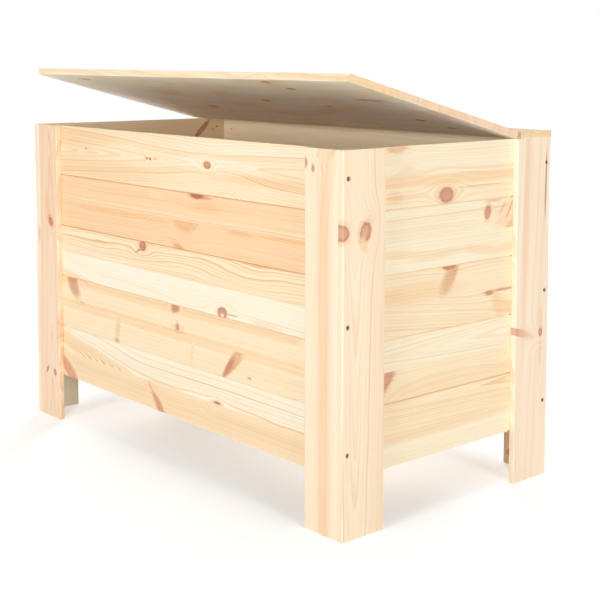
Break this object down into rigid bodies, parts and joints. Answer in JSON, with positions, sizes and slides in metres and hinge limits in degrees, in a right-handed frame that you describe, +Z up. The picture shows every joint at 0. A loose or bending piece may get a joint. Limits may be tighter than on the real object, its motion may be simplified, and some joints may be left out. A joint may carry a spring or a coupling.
{
  "type": "wooden toy box",
  "caption": "Rectangular boarded pine storage chest on square corner legs, with an open interior and a thin flat lid hinged to a fixed rail along the rear of the top.",
  "frame": {"origin": "centre of the box's footprint, on the floor between the legs' lower ends", "axes": "+X to the right-hand end along the 77 cm length, -Y to the front where the lid opens, +Z up"},
  "size_m": [0.77, 0.4, 0.5825],
  "materials": {
    "pine_leg": "planed, untreated pine with knots, edges eased",
    "pine_wall": "planed, untreated tongue-and-groove pine with knots and cathedral grain",
    "pine_panel": "sanded, untreated pine strips glued edge to edge",
    "pine_floor": "planed, untreated pine",
    "steel_hinge": "zinc-plated pressed steel",
    "steel_screw": "yellow zinc-plated screws",
    "steel_nail": "bright wire nails"
  },
  "bodies": {
    "carcass": {"batten_screws": "steel_screw", "corner_screws": "steel_screw", "floor_batten_front": "pine_floor", "floor_batten_rear": "pine_floor", "floor_board_1": "pine_floor", "floor_board_2": "pine_floor", "floor_board_3": "pine_floor", "floor_board_4": "pine_floor", "floor_board_5": "pine_floor", "floor_board_6": "pine_floor", "floor_board_7": "pine_floor", "floor_board_8": "pine_floor", "floor_board_9": "pine_floor", "floor_nails": "steel_nail", "front_left_leg_face_board": "pine_leg", "front_left_leg_side_board": "pine_leg", "front_right_leg_face_board": "pine_leg", "front_right_leg_side_board": "pine_leg", "front_wall_board_1": "pine_wall", "front_wall_board_2": "pine_wall", "front_wall_board_3": "pine_wall", "front_wall_board_4": "pine_wall", "front_wall_board_5": "pine_wall", "hinge_rail": "pine_panel", "hinge_rail_screws": "steel_screw", "left_hinge_pin": "steel_hinge", "left_hinge_rail_leaf": "steel_hinge", "left_wall_board_1": "pine_wall", "left_wall_board_2": "pine_wall", "left_wall_board_3": "pine_wall", "left_wall_board_4": "pine_wall", "left_wall_board_5": "pine_wall", "rail_screws": "steel_screw", "rear_left_leg_face_board": "pine_leg", "rear_left_leg_side_board": "pine_leg", "rear_right_leg_face_board": "pine_leg", "rear_right_leg_side_board": "pine_leg", "rear_wall_board_1": "pine_wall", "rear_wall_board_2": "pine_wall", "rear_wall_board_3": "pine_wall", "rear_wall_board_4": "pine_wall", "rear_wall_board_5": "pine_wall", "right_hinge_pin": "steel_hinge", "right_hinge_rail_leaf": "steel_hinge", "right_wall_board_1": "pine_wall", "right_wall_board_2": "pine_wall", "right_wall_board_3": "pine_wall", "right_wall_board_4": "pine_wall", "right_wall_board_5": "pine_wall", "wall_nails": "steel_nail"},
    "lid": {"hinge_lid_screws": "steel_screw", "left_hinge_lid_leaf": "steel_hinge", "lid_panel": "pine_panel", "right_hinge_lid_leaf": "steel_hinge"}
  },
  "joints": [
    {"name": "lid_hinge", "type": "hinge", "parent": "carcass", "child": "lid", "pos_m": [0, 0.131, 0.49845], "axis": [-1, 0, 0], "range_deg": [-14.5, 85.5]}
  ]
}
